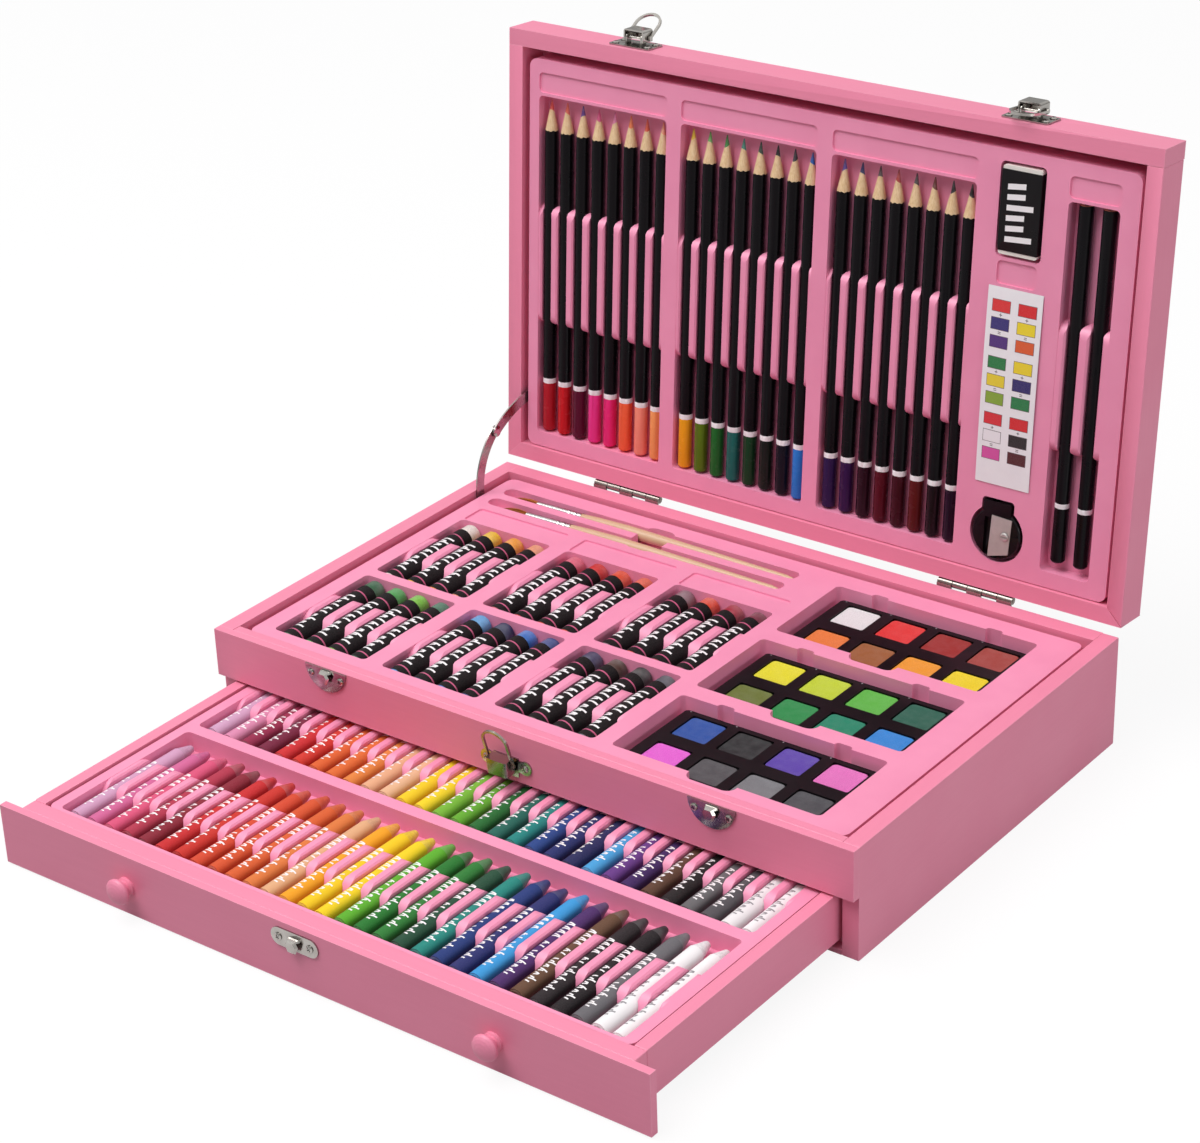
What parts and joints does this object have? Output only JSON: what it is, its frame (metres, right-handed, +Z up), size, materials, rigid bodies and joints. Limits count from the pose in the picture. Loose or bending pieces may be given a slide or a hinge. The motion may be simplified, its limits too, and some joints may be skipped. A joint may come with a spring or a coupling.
{
  "type": "pencil drawer box",
  "caption": "Hinged art case with a pencil tray in its lid, an upper tray of pastels, paint palettes and brushes, and a crayon drawer below, closed by metal latches.",
  "frame": {"origin": "centre of the face that the case stands on", "axes": "+X to the right seen from the front, +Y to the back, +Z up; the drawer slides along Y and the lid turns about X"},
  "size_m": [0.37, 0.4346, 0.3051],
  "materials": {
    "painted_wood": "satin pink paint over wood",
    "tray_plastic": "matt moulded plastic",
    "palette_plastic": "black moulded plastic",
    "pastel_wrap": "black paper wrapper",
    "paint_cake": "dry cake of paint",
    "crayon_wax": "wax under a paper wrapper",
    "pencil_lacquer": "gloss lacquer over wood",
    "bare_wood": "varnished pale wood",
    "bristle": "soft hair",
    "plated_steel": "bright nickel plate",
    "aluminium_tube": "polished tube",
    "eraser_rubber": "smooth white rubber",
    "printed_card": "coated card",
    "sharpener_plastic": "gloss black plastic",
    "blade_steel": "ground steel"
  },
  "bodies": {
    "base": {"base_bottom": "painted_wood", "base_left_side": "painted_wood", "base_right_side": "painted_wood", "base_back_wall": "painted_wood", "base_front_rail": "painted_wood", "base_inner_rail": "painted_wood", "base_shelf": "painted_wood", "drawer_runners": "painted_wood", "base_tray": "tray_plastic", "oil_pastels": "pastel_wrap", "palette_frames": "palette_plastic", "paint_pans": "paint_cake", "brush_handles": "bare_wood", "brush_ferrules": "aluminium_tube", "brush_bristles": "bristle", "hinge_base_leaves": "plated_steel", "hinge_pins": "plated_steel", "base_catches": "plated_steel", "centre_latch_plate": "plated_steel", "base_screws": "plated_steel", "stay_base_rivet": "plated_steel"},
    "lid": {"lid_left_rail": "painted_wood", "lid_right_rail": "painted_wood", "lid_front_rail": "painted_wood", "lid_back_rail": "painted_wood", "lid_panel": "painted_wood", "lid_tray": "tray_plastic", "colour_pencils": "pencil_lacquer", "sketch_pencils": "pencil_lacquer", "eraser_core": "eraser_rubber", "eraser_sleeve": "printed_card", "colour_card": "printed_card", "sharpener_body": "sharpener_plastic", "sharpener_blade": "blade_steel", "sharpener_screw": "blade_steel", "hinge_lid_leaves": "plated_steel", "lid_latch_plates": "plated_steel", "lid_screws": "plated_steel", "stay_lid_rivet": "plated_steel"},
    "drawer": {"drawer_front": "painted_wood", "drawer_inner_front": "painted_wood", "drawer_left_side": "painted_wood", "drawer_right_side": "painted_wood", "drawer_back": "painted_wood", "drawer_bottom": "painted_wood", "drawer_tray": "tray_plastic", "drawer_knobs": "painted_wood", "drawer_catch": "plated_steel", "crayons_front": "crayon_wax", "crayons_back": "crayon_wax", "drawer_screws": "plated_steel"},
    "stay_lower": {"stay_lower_arm": "plated_steel", "stay_elbow_rivet": "plated_steel"},
    "stay_upper": {"stay_upper_arm": "plated_steel"},
    "left_lever": {"left_latch_lever": "plated_steel"},
    "left_bail": {"left_latch_bail": "plated_steel"},
    "right_lever": {"right_latch_lever": "plated_steel"},
    "right_bail": {"right_latch_bail": "plated_steel"},
    "centre_lever": {"centre_latch_lever": "plated_steel"},
    "centre_bail": {"centre_latch_bail": "plated_steel"}
  },
  "joints": [
    {"name": "lid_hinge", "type": "hinge", "parent": "base", "child": "lid", "pos_m": [0, 0.1184, 0.0597], "axis": [1, 0, 0], "range_deg": [0, 94.5]},
    {"name": "stay_base_pivot", "type": "hinge", "parent": "base", "child": "stay_lower", "pos_m": [-0.1758, 0.082, 0.048], "axis": [1, 0, 0], "range_deg": [-1, 95]},
    {"name": "stay_lid_pivot", "type": "hinge", "parent": "lid", "child": "stay_upper", "pos_m": [-0.1747, 0.13318, 0.09706], "axis": [1, 0, 0], "range_deg": [-94, 1]},
    {"name": "drawer_slide", "type": "slide", "parent": "base", "child": "drawer", "axis": [0, 1, 0], "range_m": [-0.012, 0.148]},
    {"name": "left_latch_lever_pivot", "type": "hinge", "parent": "lid", "child": "left_lever", "pos_m": [-0.112, 0.14493, 0.29675], "axis": [-1, 0, 0], "range_deg": [-95, 0]},
    {"name": "left_latch_bail_pivot", "type": "hinge", "parent": "left_lever", "child": "left_bail", "pos_m": [-0.112, 0.14752, 0.29655], "axis": [1, 0, 0], "range_deg": [-10, 140]},
    {"name": "right_latch_lever_pivot", "type": "hinge", "parent": "lid", "child": "right_lever", "pos_m": [0.112, 0.14493, 0.29675], "axis": [1, 0, 0], "range_deg": [0, 95]},
    {"name": "right_latch_bail_pivot", "type": "hinge", "parent": "right_lever", "child": "right_bail", "pos_m": [0.112, 0.14752, 0.29655], "axis": [1, 0, 0], "range_deg": [-110, 5]},
    {"name": "centre_latch_lever_pivot", "type": "hinge", "parent": "base", "child": "centre_lever", "pos_m": [-0.003, -0.12, 0.0405], "axis": [1, 0, 0], "range_deg": [-5, 85]},
    {"name": "centre_latch_bail_pivot", "type": "hinge", "parent": "centre_lever", "child": "centre_bail", "pos_m": [-0.003, -0.12023, 0.04309], "axis": [1, 0, 0], "range_deg": [-18, 74]}
  ],
  "couplings": [
    {"joint": "stay_base_pivot", "follows": "lid_hinge", "ratio": 0.9937},
    {"joint": "stay_lid_pivot", "follows": "lid_hinge", "ratio": -0.9831},
    {"joint": "right_latch_bail_pivot", "follows": "right_latch_lever_pivot", "ratio": -1}
  ]
}
